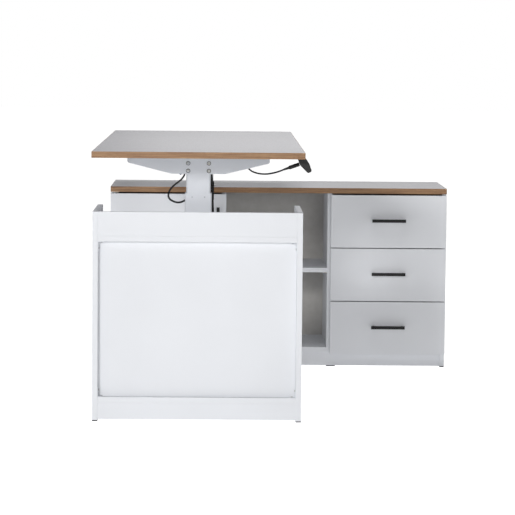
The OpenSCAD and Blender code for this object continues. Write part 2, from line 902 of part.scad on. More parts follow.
module control_box() {
    gland_d = 10;
    gland_l = 8;
    left = column_x - control_w / 2;
    color(BLACK) placed() {
        block([left, control_y, desk_under - control_h],
              [left + control_w, control_y + control_d, desk_under]);
        for (x = [-40, 28, 54]) {
            translate([column_x + x, control_y, desk_under - control_h / 2])
                rotate([90, 0, 0]) cylinder(d = gland_d, h = gland_l);
        }
    }
}

module bolt() {
    head_d = 1.7 * bolt_d;
    head_h = 0.5 * bolt_d;
    cylinder(d = bolt_d, h = web_out);
    translate([0, 0, web_out]) cylinder(d = head_d, h = head_h);
}

module frame_bolts() {
    tail = inner_d / 2 - tube_wall - 3;
    color(STEEL) placed() at_columns() difference() {
        bolt_spots() bolt();
        block([-tube_w, -tail, row_low - bolt_d], [tube_w, tail, row_high + bolt_d]);
    }
}

module desktop_screws() {
    head_d = 2 * screw_d;
    head_h = 0.6 * screw_d;
    color(STEEL) placed() at_columns() screw_spots() {
        translate([0, 0, head_z - head_h]) cylinder(d = head_d, h = head_h);
        translate([0, 0, head_z - head_h])
            cylinder(d = screw_d, h = head_h + bracket_t + screw_bite);
    }
}

// Moves its children to the desktop's lower right edge.
module at_edge() {
    translate([desk_x + desk_w, 0, desk_under]) children();
}

// Places a button's children on the handset's face, z pointing out of it.
module on_face(y) {
    at_edge() translate([face_mid[0], y, face_mid[1]])
        rotate([0, face_tilt, 0]) children();
}

module handset() {
    socket_d = 11.4;
    color(BLACK) placed() difference() {
        at_edge() translate([0, handset_y + handset_l, 0]) rotate([90, 0, 0])
            linear_extrude(handset_l) polygon(handset_points);
        for (y = [-1, 1]) {
            on_face(button_mid + y * button_pitch / 2)
                translate([0, 0, button_proud - button_h - button_travel - fit_gap])
                    cylinder(d = button_d + 2 * fit_gap, h = 12);
        }
        plug_at() translate([0, 0, plug_l - plug_seat]) cylinder(d = socket_d, h = plug_seat + 1);
    }
}

module handset_button(y) {
    color(STEEL) placed() on_face(button_mid + y)
        translate([0, 0, button_proud - button_h]) cylinder(d = button_d, h = button_h);
}

module button_up() {
    handset_button(-button_pitch / 2);
}

module button_down() {
    handset_button(button_pitch / 2);
}

// handset plug, from the cord's end into the handset's back
plug_l = 46;
plug_seat = 5;
plug_tilt = 19.5;
plug_start = handset_route[len(handset_route) - 1];

module plug_at() {
    translate(plug_start) rotate([0, 90 - plug_tilt, 0]) children();
}

module handset_plug() {
    relief_l = 14;
    color(BLACK) placed() plug_at() {
        cylinder(d1 = 6, d2 = 7.5, h = relief_l);
        translate([0, 0, relief_l]) cylinder(d = 11.4, h = plug_l - relief_l);
    }
}

module handset_cord() {
    color(BLACK) placed() swept(smooth_line(handset_route, 2), handset_cord_d);
}

module motor_cord() {
    color(BLACK) placed() swept(smooth_line(motor_route, 2), motor_cord_d);
}

module inlet_cord() {
    color(BLACK) placed() swept(smooth_line(inlet_route, 2), mains_cord_d - 0.5);
}

module power_connector() {
    low = lead_route[0];
    color(BLACK) placed()
        block([low[0] - 7.5, low[1] - 4.5, low[2]], [low[0] + 4.5, low[1] + 4.5, low[2] + 30]);
}

module mains_cord() {
    color(BLACK) placed() {
        swept(smooth_line(lead_route, 2), mains_cord_d);
        swept(smooth_line(tail_route, 2), mains_cord_d);
    }
}

module mains_coil_and_plug() {
    half = coil_rows * coil_step / 2;
    plug_body = [26, 36, 16];
    pin_pitch = 19;
    end = tail_route[len(tail_route) - 1];
    color(BLACK) placed() {
        translate([coil_centre[0], coil_centre[1], ped_floor + half])
            rotate_extrude() translate([coil_r, 0]) rounded(2 * half, 2 * half, 3);
        translate([end[0] - plug_body[0] / 2, end[1] - 15 - plug_body[1], ped_floor])
            cube(plug_body);
        translate(end) rotate([90, 0, 0]) cylinder(d1 = 8, d2 = 9, h = 15);
        for (x = [-pin_pitch / 2, pin_pitch / 2]) {
            translate([end[0] + x, end[1] - 15 - plug_body[1], ped_floor + plug_body[2] / 2])
                rotate([90, 0, 0]) cylinder(d = 4.8, h = 18);
        }
    }
}

module spindle(y) {
    color(STEEL) placed() translate([column_x, y, spindle_bottom])
        cylinder(d = spindle_d, h = gearbox_bottom + spindle_seat - spindle_bottom);
}

module front_spindle() {
    spindle(front_y);
}

module rear_spindle() {
    spindle(rear_y);
}

pedestal_side_left();
pedestal_side_right();
pedestal_fascia();
pedestal_deck();
pedestal_panel();
pedestal_bottom();
pedestal_kick();
pedestal_back();
floor_pads();
column_tubes();
foot_plates();
column_glides();
nut_posts();
cabinet_side_left();
cabinet_side_right();
cabinet_partition_left();
cabinet_partition_right();
cabinet_top();
cabinet_edging();
cabinet_bottom();
cabinet_plinth();
cabinet_back();
cabinet_shelf();
runner_rails();
hinge_brackets();
door_panel();
door_handle();
drawer_top_face();
drawer_top_box();
drawer_top_handle();
drawer_top_runners();
drawer_middle_face();
drawer_middle_box();
drawer_middle_handle();
drawer_middle_runners();
drawer_bottom_face();
drawer_bottom_box();
drawer_bottom_handle();
drawer_bottom_runners();
desktop();
desktop_edging();
inner_tubes();
support_brackets();
side_beams();
gear_motors();
control_box();
frame_bolts();
desktop_screws();
handset();
button_up();
button_down();
handset_plug();
handset_cord();
motor_cord();
inlet_cord();
power_connector();
mains_cord();
mains_coil_and_plug();
front_spindle();
rear_spindle();
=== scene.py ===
"""Looks of the height-adjustable corner desk: board, steel, cord and fitting finishes."""

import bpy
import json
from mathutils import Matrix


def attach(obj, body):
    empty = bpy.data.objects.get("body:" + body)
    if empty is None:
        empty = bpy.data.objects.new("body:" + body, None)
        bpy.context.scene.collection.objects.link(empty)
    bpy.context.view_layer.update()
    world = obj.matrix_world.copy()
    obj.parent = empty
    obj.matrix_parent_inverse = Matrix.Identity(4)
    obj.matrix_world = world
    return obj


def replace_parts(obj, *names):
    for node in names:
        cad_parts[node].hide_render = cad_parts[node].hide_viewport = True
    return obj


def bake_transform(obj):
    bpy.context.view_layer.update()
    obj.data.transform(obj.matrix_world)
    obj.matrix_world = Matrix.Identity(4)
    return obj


bl_info = {
    "name": "Height-adjustable corner desk",
    "version": (1, 0, 0),
    "blender": (4, 5, 0),
    "location": "3D View > Sidebar > Corner desk",
    "description": "Dresses the packed corner desk with its boards, steel, cords and fittings",
    "category": "Object",
}

import json
import math

import bmesh
import bpy
from mathutils import Matrix, Vector

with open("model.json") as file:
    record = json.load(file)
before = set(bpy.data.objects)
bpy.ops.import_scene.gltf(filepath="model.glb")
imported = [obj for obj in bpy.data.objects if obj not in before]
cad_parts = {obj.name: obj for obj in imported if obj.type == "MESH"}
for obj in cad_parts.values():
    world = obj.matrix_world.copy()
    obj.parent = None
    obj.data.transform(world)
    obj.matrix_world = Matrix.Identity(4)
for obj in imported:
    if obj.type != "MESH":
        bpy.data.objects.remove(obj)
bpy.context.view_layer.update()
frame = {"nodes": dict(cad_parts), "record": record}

MM = 0.001
# the plan's corner: cabinet's left side, desktop's front edge, floor
CORNER = Vector((-0.560, -0.870, 0.0))
FACES = ("bottom", "middle", "top")


def at(x, y, z):
    """A point given in millimetres from the plan's corner."""
    return CORNER + Vector((x, y, z)) * MM


def linear(code, alpha=1.0):
    """An sRGB hex colour as linear values."""
    parts = [int(code[i : i + 2], 16) / 255 for i in (1, 3, 5)]
    return tuple(
        c / 12.92 if c <= 0.04045 else ((c + 0.055) / 1.055) ** 2.4 for c in parts
    ) + (alpha,)


# ---- sizes and colours that a user would change ----


def length_of(name, description, default):
    return bpy.props.FloatProperty(
        name=name, description=description, default=default, unit="LENGTH", min=0.0
    )


def colour_of(name, description, code):
    return bpy.props.FloatVectorProperty(
        name=name,
        description=description,
        default=linear(code),
        size=4,
        min=0.0,
        max=1.0,
        subtype="COLOR",
    )


class DeskSizes(bpy.types.PropertyGroup):
    handset_cord_d: length_of("Handset cord", "Diameter of the handset cord", 0.005)
    motor_cord_d: length_of("Motor cord", "Diameter of the motor cord", 0.0055)
    inlet_cord_d: length_of("Inlet cord", "Diameter of the inlet cord", 0.006)
    mains_cord_d: length_of("Mains cord", "Diameter of the mains cord", 0.0065)
    coil_radius: length_of("Coil radius", "Radius of the coil's middle turn", 0.0378)
    coil_step: length_of("Coil step", "Distance between two turns", 0.0068)
    relief_l: length_of("Strain relief", "Length of a mains strain relief", 0.022)
    grommet_rim: length_of("Grommet rim", "Width of a cable grommet's rim", 0.005)


class DeskColours(bpy.types.PropertyGroup):
    board: colour_of("White board", "Melamine of the housing and cabinet", "#EEF0F4")
    top: colour_of("Top", "Melamine of the desktop and cabinet top", "#CDCCD0")
    oak_light: colour_of("Oak, light", "Light grain of the edge band", "#B08A64")
    oak_dark: colour_of("Oak, dark", "Dark grain of the edge band", "#7C5637")
    steel: colour_of("White steel", "Powder coat of columns and brackets", "#EDF0F5")
    handle: colour_of("Handle", "Powder coat of the handles", "#070708")
    plastic: colour_of("Black plastic", "Handset, control box, motors", "#0E0E10")
    cord: colour_of("Cord", "Sheath of the cords", "#09090A")
    floor: colour_of("Floor", "Colour of the floor", "#F4F4F4")


def sizes():
    return bpy.context.scene.desk_sizes


def colours():
    return bpy.context.scene.desk_colours


# ---- materials ----


def add(tree, kind, inputs=(), **settings):
    """Adds a node. An input is a value, or the socket that feeds it."""
    made = tree.nodes.new(kind)
    for name, value in settings.items():
        setattr(made, name, value)
    for key, value in dict(inputs).items():
        if isinstance(value, bpy.types.NodeSocket):
            tree.links.new(value, made.inputs[key])
        else:
            made.inputs[key].default_value = value
    return made


def new_material(name, **sockets):
    """A material, its tree, its shader and the object's own coordinates."""
    made = bpy.data.materials.new(name)
    made.use_nodes = True
    tree = made.node_tree
    shader = tree.nodes["Principled BSDF"]
    for key, value in sockets.items():
        shader.inputs[key.replace("_", " ")].default_value = value
    place = add(tree, "ShaderNodeTexCoord").outputs["Object"]
    return made, tree, shader, place


def noise(tree, place, scale, detail, distortion=0.0):
    inputs = {"Vector": place, "Scale": scale, "Detail": detail, "Distortion": distortion}
    return add(tree, "ShaderNodeTexNoise", inputs).outputs[0]


def spread(tree, value, low, high, to_low=0.0, to_high=1.0):
    """Stretches a value from one range to another, and keeps it inside."""
    inputs = {
        "Value": value,
        "From Min": low,
        "From Max": high,
        "To Min": to_low,
        "To Max": to_high,
    }
    return add(tree, "ShaderNodeMapRange", inputs).outputs[0]


def blended(tree, share, first, second):
    """Two colours, mixed by the share of the second."""
    inputs = {0: share, 6: first, 7: second}
    return add(tree, "ShaderNodeMix", inputs, data_type="RGBA").outputs[2]


def bumped(tree, shader, height, depth, strength):
    inputs = {"Height": height, "Distance": depth, "Strength": strength}
    bump = add(tree, "ShaderNodeBump", inputs)
    tree.links.new(bump.outputs[0], shader.inputs["Normal"])


def mottled(tree, shader, place, light, dark, patch, contrast=(0.35, 0.65)):
    """Blends two colours in soft patches that are so many metres across."""
    share = spread(tree, noise(tree, place, 1 / patch, 3.0), *contrast)
    tree.links.new(blended(tree, share, light, dark), shader.inputs["Base Color"])


def grained(tree, shader, place, grain, depth, strength=1.0, low=0.0, high=0.0):
    """Bumps of that grain and depth in metres, with gloss that varies from low to high."""
    bumped(tree, shader, noise(tree, place, 1 / grain, 2.0), depth, strength)
    if high:
        gloss = spread(tree, noise(tree, place, 7.0, 4.0), 0.3, 0.7, low, high)
        tree.links.new(gloss, shader.inputs["Roughness"])


def shade(colour, factor):
    return tuple(c * factor for c in colour[:3]) + (1.0,)


def white_melamine():
    # melamine-faced chipboard pressed on a pearl plate: a dry satin white; the
    # pearl's 0.5 mm grain is drawn at 2.5 mm to show
    made, tree, shader, place = new_material("white_melamine_board", IOR=1.5)
    board = colours().board
    mottled(tree, shader, place, board, shade(board, 0.955), 0.45)
    grained(tree, shader, place, 0.0025, 0.00006, 0.6, 0.36, 0.46)
    return made


def grey_melamine():
    # light grey melamine with a linen plate's cross hatching, satin; its 1 mm
    # threads are drawn at 4 mm to show
    made, tree, shader, place = new_material("grey_melamine_top", IOR=1.5)
    top = colours().top
    threads = []
    for stretch in ((260, 22, 60), (22, 260, 60)):
        along = add(
            tree, "ShaderNodeVectorMath", {0: place, 1: stretch}, operation="MULTIPLY"
        )
        threads.append(noise(tree, along.outputs[0], 1.0, 2.0))
    weave = add(
        tree, "ShaderNodeMath", {0: threads[0], 1: threads[1]}, operation="ADD"
    ).outputs[0]
    share = spread(tree, weave, 0.75, 1.25)
    woven = blended(tree, share, shade(top, 1.05), shade(top, 0.93))
    tree.links.new(woven, shader.inputs["Base Color"])
    bumped(tree, shader, weave, 0.00005, 0.5)
    shader.inputs["Roughness"].default_value = 0.44
    return made


def oak_band():
    # ABS edge band with a printed and embossed oak grain, satin: streaks 1 to 2 mm
    # high that run for 5 to 20 cm along the edge
    made, tree, shader, place = new_material("oak_print_edge_band", IOR=1.5)
    apart = add(tree, "ShaderNodeSeparateXYZ", {0: place})
    along = add(
        tree, "ShaderNodeMath", {0: apart.outputs[0], 1: apart.outputs[1]}, operation="ADD"
    )
    run = add(tree, "ShaderNodeCombineXYZ", {0: along.outputs[0], 2: apart.outputs[2]})
    streaks = []
    for stretch, detail in (((9, 1, 520), 3.0), ((60, 1, 1500), 2.0)):
        drawn = add(
            tree,
            "ShaderNodeVectorMath",
            {0: run.outputs[0], 1: stretch},
            operation="MULTIPLY",
        )
        streaks.append(noise(tree, drawn.outputs[0], 1.0, detail, 0.3))
    broad = spread(tree, streaks[0], 0.34, 0.68)
    base = blended(tree, broad, colours().oak_light, colours().oak_dark)
    pores = spread(tree, streaks[1], 0.56, 0.72, 0.0, 0.75)
    pored = blended(tree, pores, base, shade(colours().oak_dark, 0.55))
    tree.links.new(pored, shader.inputs["Base Color"])
    bumped(tree, shader, streaks[1], 0.0001, 0.5)
    shader.inputs["Roughness"].default_value = 0.46
    return made


def white_powder_coat():
    # polyester powder coat on steel: white satin with an orange peel of about
    # 1 mm, drawn at 2 mm to show
    made, tree, shader, place = new_material("white_powder_coated_steel", IOR=1.5)
    steel = colours().steel
    mottled(tree, shader, place, steel, shade(steel, 0.96), 0.2)
    grained(tree, shader, place, 0.002, 0.00008, 0.7, 0.34, 0.44)
    return made


def zinc_plate():
    # bright zinc plating: grey metal with a faint blue and straw tint in patches
    made, tree, shader, place = new_material("zinc_plated_steel", Metallic=1.0)
    mottled(tree, shader, place, linear("#C6CBD4"), linear("#C9C4B8"), 0.018)
    grained(tree, shader, place, 0.0016, 0.00003, 0.6, 0.26, 0.42)
    return made


def black_powder_coat():
    # fine-textured black powder coat on a die-cast handle: matt, 1 mm grain
    made, tree, shader, place = new_material("black_powder_coated_handle", IOR=1.5)
    handle = colours().handle
    mottled(tree, shader, place, handle, shade(handle, 0.7), 0.004)
    grained(tree, shader, place, 0.001, 0.00006, 0.8, 0.54, 0.64)
    return made


def black_abs():
    # ABS moulded on a spark-eroded surface: black with a soft, dull gloss and a
    # 0.3 mm grain drawn at 1 mm to show
    made, tree, shader, place = new_material("black_moulded_abs", IOR=1.53)
    plastic = colours().plastic
    mottled(tree, shader, place, plastic, shade(plastic, 0.75), 0.006)
    grained(tree, shader, place, 0.001, 0.00005, 0.8, 0.5, 0.62)
    return made


def pvc_sheath():
    # extruded PVC cord sheath: black, a little glossy, with faint long waves
    made, tree, shader, place = new_material("black_pvc_sheath", IOR=1.53)
    cord = colours().cord
    mottled(tree, shader, place, cord, shade(cord, 1.5), 0.02)
    grained(tree, shader, place, 0.004, 0.00005, 0.5, 0.46, 0.58)
    return made


def painted_hardboard():
    # thin fibreboard with a rolled white paint: dull, with a fibre grain of 3 mm
    made, tree, shader, place = new_material("white_painted_hardboard", IOR=1.5)
    mottled(tree, shader, place, linear("#DEDBD6"), linear("#D8D5CF"), 0.02)
    grained(tree, shader, place, 0.003, 0.0001, 0.8, 0.56, 0.68)
    return made


def white_acetal():
    # moulded acetal and nylon trim: white, waxy, with a fine grain
    made, tree, shader, place = new_material("white_moulded_acetal", IOR=1.48)
    mottled(tree, shader, place, linear("#E9EAEA"), linear("#DFE0DF"), 0.02)
    grained(tree, shader, place, 0.0015, 0.00004, 0.6, 0.34, 0.44)
    return made


def nickel_plate():
    # nickel-plated brass pins: warm, bright metal with fine drawn lines
    made, tree, shader, place = new_material("nickel_plated_brass", Metallic=1.0)
    mottled(tree, shader, place, linear("#D8D4CA"), linear("#C4BDAE"), 0.006)
    grained(tree, shader, place, 0.0008, 0.00002, 0.5, 0.16, 0.28)
    return made


def rubber_pad():
    # moulded rubber: near black and dull
    made, tree, shader, place = new_material("black_moulded_rubber", IOR=1.52)
    mottled(tree, shader, place, linear("#1B1B1C"), linear("#262627"), 0.01)
    grained(tree, shader, place, 0.0012, 0.0001, 0.8, 0.6, 0.75)
    return made


def hook_strap():
    # woven hook-and-loop strap: black, fuzzy, with a weave 1 mm apart
    made, tree, shader, place = new_material(
        "black_woven_strap", Sheen_Weight=0.4, Roughness=0.85
    )
    mottled(tree, shader, place, linear("#1A1A1C"), linear("#0E0E10"), 0.001, (0.4, 0.6))
    grained(tree, shader, place, 0.001, 0.0003, 1.0)
    return made


FINISHES = {
    "white_board": white_melamine,
    "grey_white_top": grey_melamine,
    "oak_edge": oak_band,
    "white_hardboard": painted_hardboard,
    "white_steel": white_powder_coat,
    "zinc_steel": zinc_plate,
    "black_handle": black_powder_coat,
    "black_plastic": black_abs,
    "white_plastic": white_acetal,
    "black_cord": pvc_sheath,
    "nickel": nickel_plate,
    "rubber": rubber_pad,
    "strap": hook_strap,
}
made_finishes = {}


def finish(name):
    """The material for a finish, made the first time that it's asked for."""
    if name not in made_finishes:
        made_finishes[name] = FINISHES[name]()
    return made_finishes[name]


# ---- mesh building ----


def ring_points(radii, height, count, turn=0.0):
    """Points round an axis. radii is one radius or a function of the angle."""
    found = []
    for i in range(count):
        angle = turn + i * math.tau / count
        r = radii(angle) if callable(radii) else radii
        found.append(Vector((r * math.cos(angle), r * math.sin(angle), height)))
    return found


def hexagon(across):
    """Radius at each angle of a hexagon so wide across its flats."""
    return lambda a: across / 2 / math.cos((a % (math.pi / 3)) - math.pi / 6)


def cross_slot(reach, width):
    """Radius at each angle of a cross recess."""

    def radius(a):
        off = abs((a % (math.pi / 2)) - math.pi / 4)
        return reach if off > math.pi / 4 - width else reach * 0.42

    return radius


def skin(bm, rings, close_start=True, close_end=True):
    """Joins rings of equal count into one skin."""
    made = [[bm.verts.new(p) for p in ring] for ring in rings]
    count = len(made[0])
    for low, high in zip(made, made[1:]):
        for i in range(count):
            j = (i + 1) % count
            bm.faces.new((low[i], low[j], high[j], high[i]))
    if close_start:
        bm.faces.new(reversed(made[0]))
    if close_end:
        bm.faces.new(made[-1])


def closed_skin(bm, rings):
    """Joins rings of equal count into a skin whose last ring meets the first."""
    made = [[bm.verts.new(p) for p in ring] for ring in rings]
    made.append(made[0])
    count = len(made[0])
    for low, high in zip(made, made[1:]):
        for i in range(count):
            j = (i + 1) % count
            bm.faces.new((low[i], low[j], high[j], high[i]))


def turned(bm, profile, matrix, count=24):
    """A turned part: profile is (radius or function, height) in millimetres."""
    rings = [
        [matrix @ (p * MM) for p in ring_points(r, h, count)] for r, h in profile
    ]
    skin(bm, rings)


def frame_to(origin, direction, side=Vector((0, 0, 1))):
    """A matrix at origin whose Z points along direction."""
    z = Vector(direction).normalized()
    if abs(z.dot(side)) > 0.99:
        side = Vector((1, 0, 0))
    x = side.cross(z).normalized()
    y = z.cross(x)
    return Matrix(
        (
            (x.x, y.x, z.x, origin.x),
            (x.y, y.y, z.y, origin.y),
            (x.z, y.z, z.z, origin.z),
            (0, 0, 0, 1),
        )
    )


def rounded_box(bm, low, high, radius=0.6, segments=2):
    """A box between two corners, in millimetres from the plan's corner."""
    a, b = at(*low), at(*high)
    made = bmesh.ops.create_cube(
        bm, size=1.0, matrix=Matrix.Translation((a + b) / 2) @ Matrix.Diagonal((*(b - a), 1))
    )
    edges = list({e for v in made["verts"] for e in v.link_edges})
    if radius:
        bmesh.ops.bevel(
            bm,
            geom=edges,
            offset=radius * MM,
            segments=segments,
            profile=0.5,
            affect="EDGES",
            clamp_overlap=True,
        )


def rounded_outline(width, depth, radius, arcs=6):
    """A rectangle's outline with round corners, about its middle, in millimetres."""
    found = []
    for sx, sy, start in ((1, 1, 0), (-1, 1, 90), (-1, -1, 180), (1, -1, 270)):
        cx, cy = sx * (width / 2 - radius), sy * (depth / 2 - radius)
        for i in range(arcs + 1):
            a = math.radians(start + 90 * i / arcs)
            found.append((cx + radius * math.cos(a), cy + radius * math.sin(a)))
    return found


def plate_frame(bm, matrix, outer, inner, levels):
    """A frame-shaped trim: outer and inner outlines, and (inset, height) levels."""
    rings = []
    for inset, height in levels:
        rings.append(
            [
                matrix @ (Vector((x, y, height)) * MM)
                for x, y in rounded_outline(outer[0] - 2 * inset, outer[1] - 2 * inset, outer[2])
            ]
        )
    top = levels[-1][1]
    bottom = levels[0][1]
    for height in (top, bottom):
        rings.append(
            [matrix @ (Vector((x, y, height)) * MM) for x, y in rounded_outline(*inner)]
        )
    made = [[bm.verts.new(p) for p in ring] for ring in rings]
    made.append(made[0])
    count = len(made[0])
    for low, high in zip(made, made[1:]):
        for i in range(count):
            j = (i + 1) % count
            bm.faces.new((low[i], low[j], high[j], high[i]))


def built(name, bm, material, body, smooth=35.0):
    """Turns a bmesh into a named piece that rides on a body."""
    bmesh.ops.recalc_face_normals(bm, faces=bm.faces)
    mesh = bpy.data.meshes.new(name)
    bm.to_mesh(mesh)
    bm.free()
    mesh.polygons.foreach_set("use_smooth", [True] * len(mesh.polygons))
    mesh.set_sharp_from_angle(angle=math.radians(smooth))
    piece = bpy.data.objects.new(name, mesh)
    bpy.context.scene.collection.objects.link(piece)
    mesh.materials.append(finish(material))
    if body:
        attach(piece, body)
    return piece


def pan_head(bm, origin, direction, head=7.0, height=2.2):
    """A pan-head screw's head with a cross recess, standing on its seat."""
    m = frame_to(origin, direction)
    slot = cross_slot(head * 0.34, 0.36)
    turned(
        bm,
        [
            (head * 0.46, -0.4),
            (head * 0.5, 0.0),
            (head * 0.5, height * 0.45),
            (head * 0.44, height * 0.8),
            (head * 0.38, height * 0.97),
            (slot, height),
            (slot, height * 0.35),
            (head * 0.06, height * 0.2),
        ],
        m,
        32,
    )


# ---- cords ----

# routes, listed in millimetres from the plan's corner
HANDSET_ROUTE = (
    (356, 472, 744), (356, 460, 743.5), (359, 443, 740), (368, 426, 734.5),
    (384, 409, 731), (404, 391, 729.5), (423, 369, 728), (436, 342, 725),
    (443, 318, 721), (449, 297, 716.5), (457, 272, 711.5), (466, 248, 709),
    (476, 224, 707.7), (487, 200, 707.7), (499, 178, 709), (512, 158, 712),
    (525, 142, 716), (536, 129, 720.4), (547, 121, 725.3),
)
MOTOR_ROUTE = (
    (262, 472, 744), (262, 458, 744), (262, 430, 746), (261, 396, 749.5),
    (258, 360, 750), (254, 326, 748), (251, 298, 745.5), (250.5, 281, 741),
    (253, 268, 731), (258.5, 263, 717), (261.2, 262, 702), (255.5, 262, 691),
    (247, 263, 682), (236, 264, 673.5), (226, 265, 664.5), (218.5, 268, 654),
    (214.5, 273, 641.5), (217, 280, 630), (226, 288, 622.5), (241, 296, 617.5),
    (256, 303, 620), (270, 308, 630), (282, 312, 645), (291, 316, 662),
    (298, 321, 679), (302, 329, 693), (302, 335, 704),
)
INLET_ROUTE = (
    (330, 472, 744), (330, 458, 744), (330.5, 430, 744.5), (332, 398, 745),
    (334, 366, 744), (336, 338, 739), (336.6, 317, 728), (336.8, 304, 711),
    (338.6, 300, 697), (340, 300, 689), (340, 300, 680),
)
LEAD_ROUTE = (
    (343, 300, 650), (343, 300, 641), (343, 300, 625), (344, 300, 600),
    (346, 301, 580), (351, 303.5, 560), (357, 306, 543), (361, 307, 522),
    (362, 308, 495), (362, 310, 440), (362, 312, 370), (362, 314, 300),
    (362, 316, 230), (363, 319, 170), (367, 323, 130), (376, 329, 102),
    (392, 337, 85), (412, 346, 76.5), (434, 355, 73.4), (456, 361.5, 73.4),
    (476, 363.2, 73.4),
)
TAIL_ROUTE = (
    (482, 276, 86.5), (468, 272.5, 83.5), (455, 265, 79), (447, 254, 75.5),
    (444, 241, 74.6), (444, 228, 74.5),
)
COIL_CENTRE = (505, 322)
COIL_FLOOR = 70.0
PLUG_END = (444, 228, 74.5)


def smooth_line(points, steps):
    """Points on a smooth curve through the given ones, so many to each stretch."""
    p = [Vector(q) for q in points]
    found = []
    for i in range(len(p) - 1):
        a, b, c = p[max(i - 1, 0)], p[i], p[i + 1]
        d = p[min(i + 2, len(p) - 1)]
        for j in range(steps):
            t = j / steps
            found.append(
                0.5
                * (
                    2 * b
                    + (c - a) * t
                    + (2 * a - 5 * b + 4 * c - d) * t * t
                    + (3 * b - a - 3 * c + d) * t**3
                )
            )
    return found + [p[-1]]


def curve_cord(name, route, diameter, body, steps=1):
    """A cord as one smooth curve through a route."""
    curve = bpy.data.curves.new(name, "CURVE")
    curve.dimensions = "3D"
    curve.bevel_depth = diameter / 2
    curve.bevel_resolution = 4
    curve.resolution_u = 6
    curve.use_fill_caps = True
    line = smooth_line(route, steps)
    spline = curve.splines.new("BEZIER")
    spline.bezier_points.add(len(line) - 1)
    for knot, point in zip(spline.bezier_points, line):
        knot.co = at(*point)
        knot.handle_left_type = knot.handle_right_type = "AUTO"
    piece = bpy.data.objects.new(name, curve)
    bpy.context.scene.collection.objects.link(piece)
    curve.materials.append(finish("black_cord"))
    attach(piece, body)
    return piece


def coil_line():
    """The coil's turns: three inwards, three outwards above them, one on top."""
    s = sizes()
    step = s.coil_step / MM
    middle = s.coil_radius / MM
    level = COIL_FLOOR + s.mains_cord_d / MM / 2 + 0.15
    start, per_turn = 103.0, 24
    radii, heights = [], []
    turns = [(middle + step, 0), (middle, 0), (middle - step, 0), (middle - step, 1),
             (middle, 1), (middle + step, 1), (middle + step, 2)]
    ease = 5
    for k, (radius, layer) in enumerate(turns):
        ahead = turns[k + 1] if k + 1 < len(turns) else (radius, layer)
        for i in range(per_turn):
            # the step to the next turn is made over the last part of this one
            t = max(0.0, (i - per_turn + ease) / ease)
            t = t * t * (3 - 2 * t)
            radii.append(radius + (ahead[0] - radius) * t)
            heights.append(level + step * (layer + (ahead[1] - layer) * t))
    # ends where the tail leaves, ten points short of a whole turn
    found = []
    for i in range(len(radii) - 10):
        angle = math.radians(start - i * 360 / per_turn)
        found.append(
            (
                COIL_CENTRE[0] + radii[i] * math.cos(angle),
                COIL_CENTRE[1] + radii[i] * math.sin(angle),
                heights[i],
            )
        )
    return found


def tube_mesh(name, line, diameter, sides=12):
    """A round tube along points in the row frame."""
    bm = bmesh.new()
    tangents = [
        (line[min(i + 1, len(line) - 1)] - line[max(i - 1, 0)]).normalized()
        for i in range(len(line))
    ]
    side = tangents[0].cross(Vector((0.3, 0.2, 1))).normalized()
    rings = []
    for point, t in zip(line, tangents):
        side = (side - t * side.dot(t)).normalized()
        other = t.cross(side)
        rings.append(
            [
                point
                + (side * math.cos(a) + other * math.sin(a)) * diameter / 2
                for a in (i * math.tau / sides for i in range(sides))
            ]
        )
    skin(bm, rings)
    return built(name, bm, "black_cord", None, 60.0)


def relief(bm, start, direction, wide, cord, length, ribs=5):
    """A tapered strain relief with moulded ribs, from its housing outwards."""
    m = frame_to(at(*start), direction)
    profile = [(wide * 0.98, -1.0), (wide, 0.0)]
    for i in range(ribs):
        a = (i + 0.15) / ribs
        b = (i + 0.75) / ribs
        ra = wide + (cord * 1.22 - wide) * a
        rb = wide + (cord * 1.22 - wide) * b
        profile += [
            (ra, a * length),
            (rb, b * length),
            (rb * 0.88, (b + 0.04) * length),
            (rb * 0.88, (b + 0.2) * length),
        ]
    profile += [(cord * 1.2, length * 1.02), (cord * 1.02, length * 1.04)]
    turned(bm, profile, m, 20)


def handset_plug_piece():
    """The moulded plug with its grip rings, from the cord's end into the handset."""
    bm = bmesh.new()
    start = at(547, 121, 725.3)
    tilt = math.radians(19.5)
    m = frame_to(start, (math.cos(tilt), 0, math.sin(tilt)))
    profile = [(2.55, -1.5), (2.9, 0.0)]
    for i in range(4):
        z = 1.0 + i * 3.2
        grow = 0.22 * i
        profile += [(3.1 + grow, z), (3.3 + grow, z + 1.9), (2.8 + grow, z + 2.1),
                    (2.8 + grow, z + 3.0)]
    profile += [(4.1, 14.2), (5.2, 15.2), (5.7, 16.6), (5.7, 18.4)]
    for i in range(5):
        z = 19.4 + i * 3.0
        profile += [(5.2, z), (5.2, z + 0.9), (5.7, z + 1.2), (5.7, z + 2.4)]
    profile += [(5.7, 36.0), (5.3, 36.8), (5.0, 37.2), (5.0, 38.0), (5.55, 38.4),
                (5.6, 45.6), (5.0, 46.0)]
    turned(bm, profile, m, 28)
    piece = built("handset_plug_body", bm, "black_plastic", "lift")
    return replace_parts(piece, "handset_plug")


def loft(bm, sections):
    """A body through rounded sections: (centre, width, height, radius, y) in mm."""
    rings = []
    for x, z, width, height, radius, y in sections:
        rings.append(
            [
                at(x + px, y, z + pz)
                for px, pz in rounded_outline(width, height, radius, 4)
            ]
        )
    skin(bm, rings)


